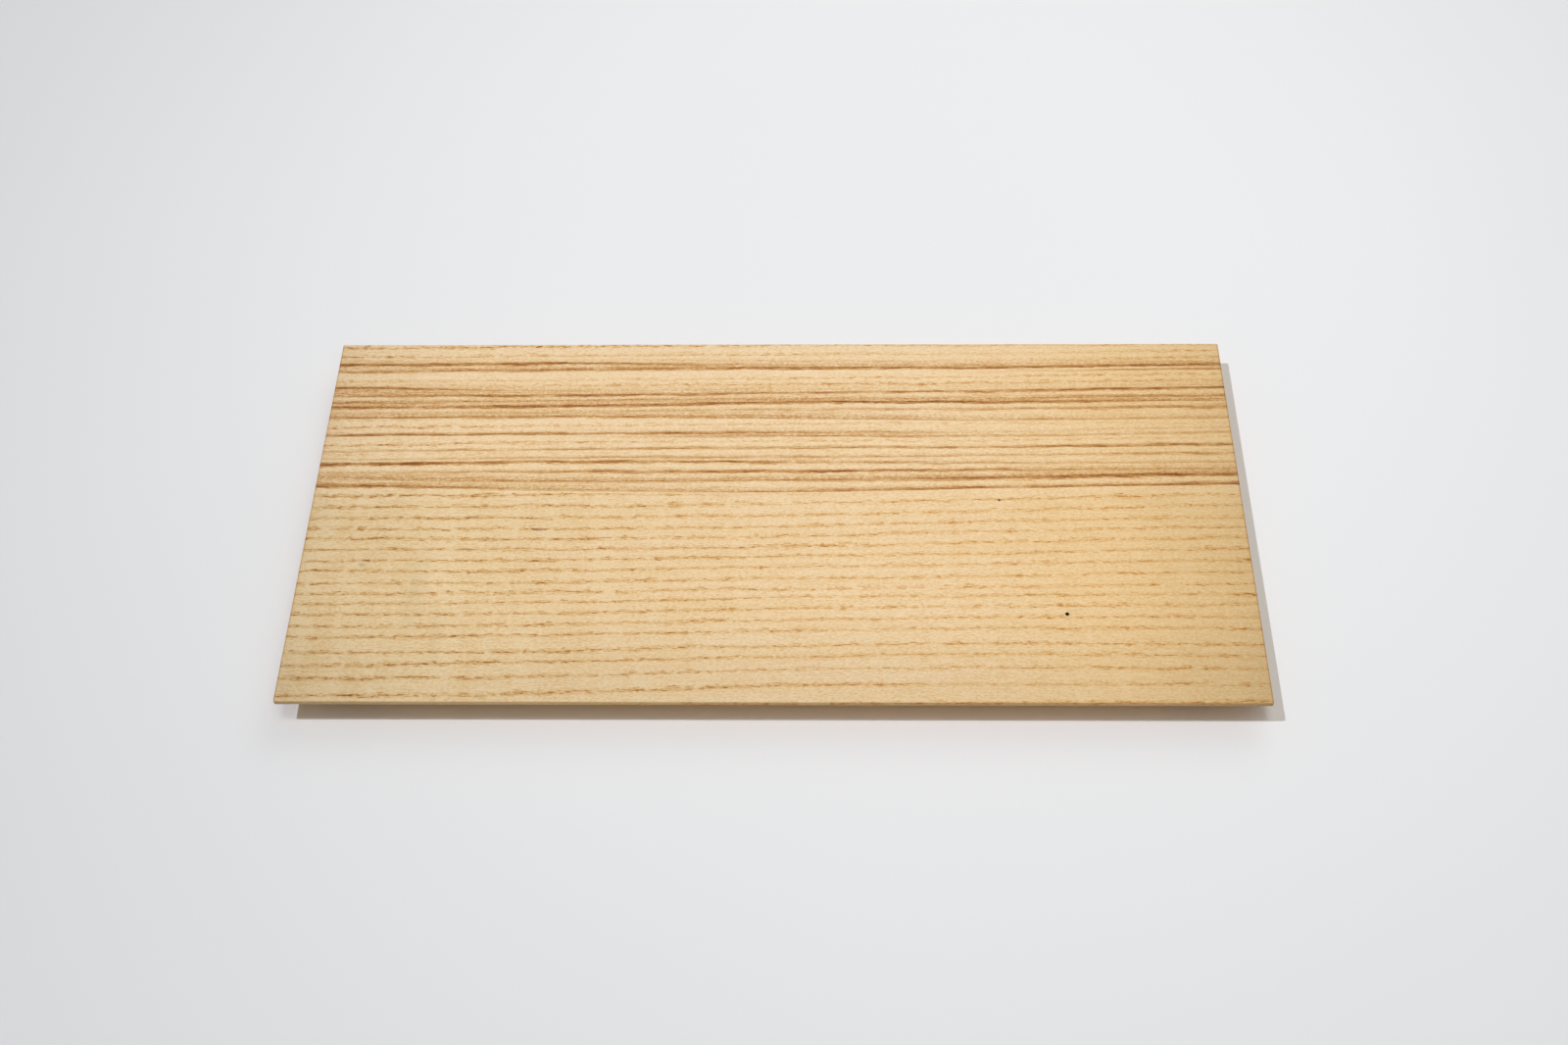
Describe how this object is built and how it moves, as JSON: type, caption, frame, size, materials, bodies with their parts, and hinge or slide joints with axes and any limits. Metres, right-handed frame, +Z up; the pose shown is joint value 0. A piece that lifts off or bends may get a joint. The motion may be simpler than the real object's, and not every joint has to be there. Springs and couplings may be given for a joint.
{
  "type": "wooden plate",
  "caption": "Low rectangular serving plate of pale wood: a flat plank with a thin rim bevelled underneath, raised on dovetailed cross battens that serve as feet.",
  "frame": {"origin": "on the table, under the middle of the plate", "axes": "+X along the plank's grain and its long side, to the right as the picture shows it; +Y from the near long edge to the far one; +Z up, out of the serving face"},
  "size_m": [0.4, 0.2, 0.015],
  "materials": {
    "plank_wood": "planed and oiled, satin",
    "batten_wood": "planed and oiled, satin",
    "peg_wood": "end grain, oiled"
  },
  "bodies": {
    "root": {"plate_board": "plank_wood", "batten_left": "batten_wood", "batten_right": "batten_wood", "peg_left": "peg_wood", "peg_right": "peg_wood"}
  },
  "joints": []
}
